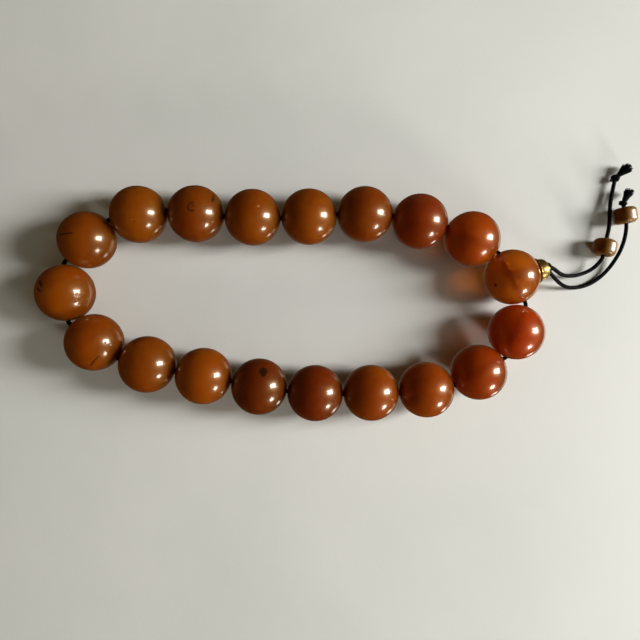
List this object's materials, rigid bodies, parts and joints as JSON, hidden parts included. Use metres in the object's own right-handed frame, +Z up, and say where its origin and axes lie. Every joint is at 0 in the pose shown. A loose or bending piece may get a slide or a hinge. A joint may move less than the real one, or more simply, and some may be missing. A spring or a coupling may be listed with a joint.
{
  "type": "prayer beads",
  "caption": "Loop of round amber beads on a black cord that leaves a head bead through a domed brass cap and ends in knotted tails with drum beads.",
  "frame": {"origin": "on the table under the middle of the bead loop and its cap", "axes": "+X along the loop towards the tails, +Y across the loop in its plane, +Z up from the table"},
  "size_m": [0.2562, 0.1115, 0.0233],
  "materials": {
    "amber_01": "polished amber resin, translucent",
    "amber_02": "polished amber resin, translucent",
    "amber_03": "polished amber resin, translucent",
    "amber_04": "polished amber resin, translucent",
    "amber_05": "polished amber resin, translucent",
    "amber_06": "polished amber resin, translucent",
    "amber_07": "polished amber resin, translucent",
    "amber_08": "polished amber resin, translucent",
    "amber_09": "polished amber resin, translucent",
    "amber_10": "polished amber resin, translucent",
    "amber_11": "polished amber resin, translucent",
    "amber_12": "polished amber resin, translucent",
    "amber_13": "polished amber resin, translucent",
    "amber_14": "polished amber resin, translucent",
    "amber_15": "polished amber resin, translucent",
    "amber_16": "polished amber resin, translucent",
    "amber_17": "polished amber resin, translucent",
    "amber_18": "polished amber resin, translucent",
    "amber_head": "polished amber resin, translucent",
    "drum_amber": "polished resin with a pearly lustre",
    "brass": "polished, slightly tarnished",
    "black_cord": "waxed braid"
  },
  "bodies": {
    "cord_and_head": {"head_bead": "amber_head", "string_loop": "black_cord", "cap_knot": "black_cord", "tail_cord_a": "black_cord", "tail_cord_b": "black_cord", "end_knot_a": "black_cord", "end_knot_b": "black_cord"},
    "bead_01": {"bead_01": "amber_01"},
    "bead_02": {"bead_02": "amber_02"},
    "bead_03": {"bead_03": "amber_03"},
    "bead_04": {"bead_04": "amber_04"},
    "bead_05": {"bead_05": "amber_05"},
    "bead_06": {"bead_06": "amber_06"},
    "bead_07": {"bead_07": "amber_07"},
    "bead_08": {"bead_08": "amber_08"},
    "bead_09": {"bead_09": "amber_09"},
    "bead_10": {"bead_10": "amber_10"},
    "bead_11": {"bead_11": "amber_11"},
    "bead_12": {"bead_12": "amber_12"},
    "bead_13": {"bead_13": "amber_13"},
    "bead_14": {"bead_14": "amber_14"},
    "bead_15": {"bead_15": "amber_15"},
    "bead_16": {"bead_16": "amber_16"},
    "bead_17": {"bead_17": "amber_17"},
    "bead_18": {"bead_18": "amber_18"},
    "brass_cap": {"brass_cap": "brass"},
    "tail_bead_a": {"tail_bead_a": "drum_amber"},
    "tail_bead_b": {"tail_bead_b": "drum_amber"}
  },
  "joints": [
    {"name": "bead_01_turn", "type": "hinge", "parent": "cord_and_head", "child": "bead_01", "pos_m": [0.07382, 0.02734, 0.01165], "axis": [-0.8945, 0.447, 0], "continuous": true},
    {"name": "bead_02_turn", "type": "hinge", "parent": "cord_and_head", "child": "bead_02", "pos_m": [0.05151, 0.03459, 0.01165], "axis": [-0.9829, 0.1844, 0], "continuous": true},
    {"name": "bead_03_turn", "type": "hinge", "parent": "cord_and_head", "child": "bead_03", "pos_m": [0.02824, 0.03744, 0.01165], "axis": [-1, 0.0065, 0], "continuous": true},
    {"name": "bead_04_turn", "type": "hinge", "parent": "cord_and_head", "child": "bead_04", "pos_m": [0.00482, 0.03622, 0.01165], "axis": [-0.9979, -0.0654, 0], "continuous": true},
    {"name": "bead_05_turn", "type": "hinge", "parent": "cord_and_head", "child": "bead_05", "pos_m": [-0.01862, 0.03581, 0.01165], "axis": [-0.9995, 0.0305, 0], "continuous": true},
    {"name": "bead_06_turn", "type": "hinge", "parent": "cord_and_head", "child": "bead_06", "pos_m": [-0.04204, 0.03703, 0.01165], "axis": [-0.9966, 0.0828, 0], "continuous": true},
    {"name": "bead_07_turn", "type": "hinge", "parent": "cord_and_head", "child": "bead_07", "pos_m": [-0.06549, 0.03662, 0.01165], "axis": [-0.9866, -0.1629, 0], "continuous": true},
    {"name": "bead_08_turn", "type": "hinge", "parent": "cord_and_head", "child": "bead_08", "pos_m": [-0.08638, 0.02598, 0.01165], "axis": [-0.7163, -0.6978, 0], "continuous": true},
    {"name": "bead_09_turn", "type": "hinge", "parent": "cord_and_head", "child": "bead_09", "pos_m": [-0.09517, 0.00424, 0.01165], "axis": [0.0785, -0.9969, 0], "continuous": true},
    {"name": "bead_10_turn", "type": "hinge", "parent": "cord_and_head", "child": "bead_10", "pos_m": [-0.08344, -0.01607, 0.01165], "axis": [0.8052, -0.5931, 0], "continuous": true},
    {"name": "bead_11_turn", "type": "hinge", "parent": "cord_and_head", "child": "bead_11", "pos_m": [-0.06186, -0.02524, 0.01165], "axis": [0.9744, -0.225, 0], "continuous": true},
    {"name": "bead_12_turn", "type": "hinge", "parent": "cord_and_head", "child": "bead_12", "pos_m": [-0.03892, -0.03011, 0.01165], "axis": [0.9829, -0.1844, 0], "continuous": true},
    {"name": "bead_13_turn", "type": "hinge", "parent": "cord_and_head", "child": "bead_13", "pos_m": [-0.0159, -0.03459, 0.01165], "axis": [0.9856, -0.1693, 0], "continuous": true},
    {"name": "bead_14_turn", "type": "hinge", "parent": "cord_and_head", "child": "bead_14", "pos_m": [0.00738, -0.03744, 0.01165], "axis": [0.9983, -0.0589, 0], "continuous": true},
    {"name": "bead_15_turn", "type": "hinge", "parent": "cord_and_head", "child": "bead_15", "pos_m": [0.03083, -0.03744, 0.01165], "axis": [1, 0.0087, 0], "continuous": true},
    {"name": "bead_16_turn", "type": "hinge", "parent": "cord_and_head", "child": "bead_16", "pos_m": [0.05424, -0.03622, 0.01165], "axis": [0.9918, 0.1279, 0], "continuous": true},
    {"name": "bead_17_turn", "type": "hinge", "parent": "cord_and_head", "child": "bead_17", "pos_m": [0.07655, -0.02897, 0.01165], "axis": [0.8832, 0.469, 0], "continuous": true},
    {"name": "bead_18_turn", "type": "hinge", "parent": "cord_and_head", "child": "bead_18", "pos_m": [0.09277, -0.01204, 0.01165], "axis": [0.3662, 0.9305, 0], "continuous": true},
    {"name": "brass_cap_turn", "type": "hinge", "parent": "cord_and_head", "child": "brass_cap", "pos_m": [0.10203, 0.0141, 0.01165], "axis": [0.9703, 0.2419, 0], "continuous": true},
    {"name": "tail_bead_a_slide", "type": "slide", "parent": "cord_and_head", "child": "tail_bead_a", "axis": [0.2169, 0.9762, 0], "range_m": [0, 0.005]},
    {"name": "tail_bead_b_turn", "type": "hinge", "parent": "cord_and_head", "child": "tail_bead_b", "pos_m": [0.14427, 0.03915, 0.005], "axis": [-0.1483, 0.9889, 0], "continuous": true}
  ]
}
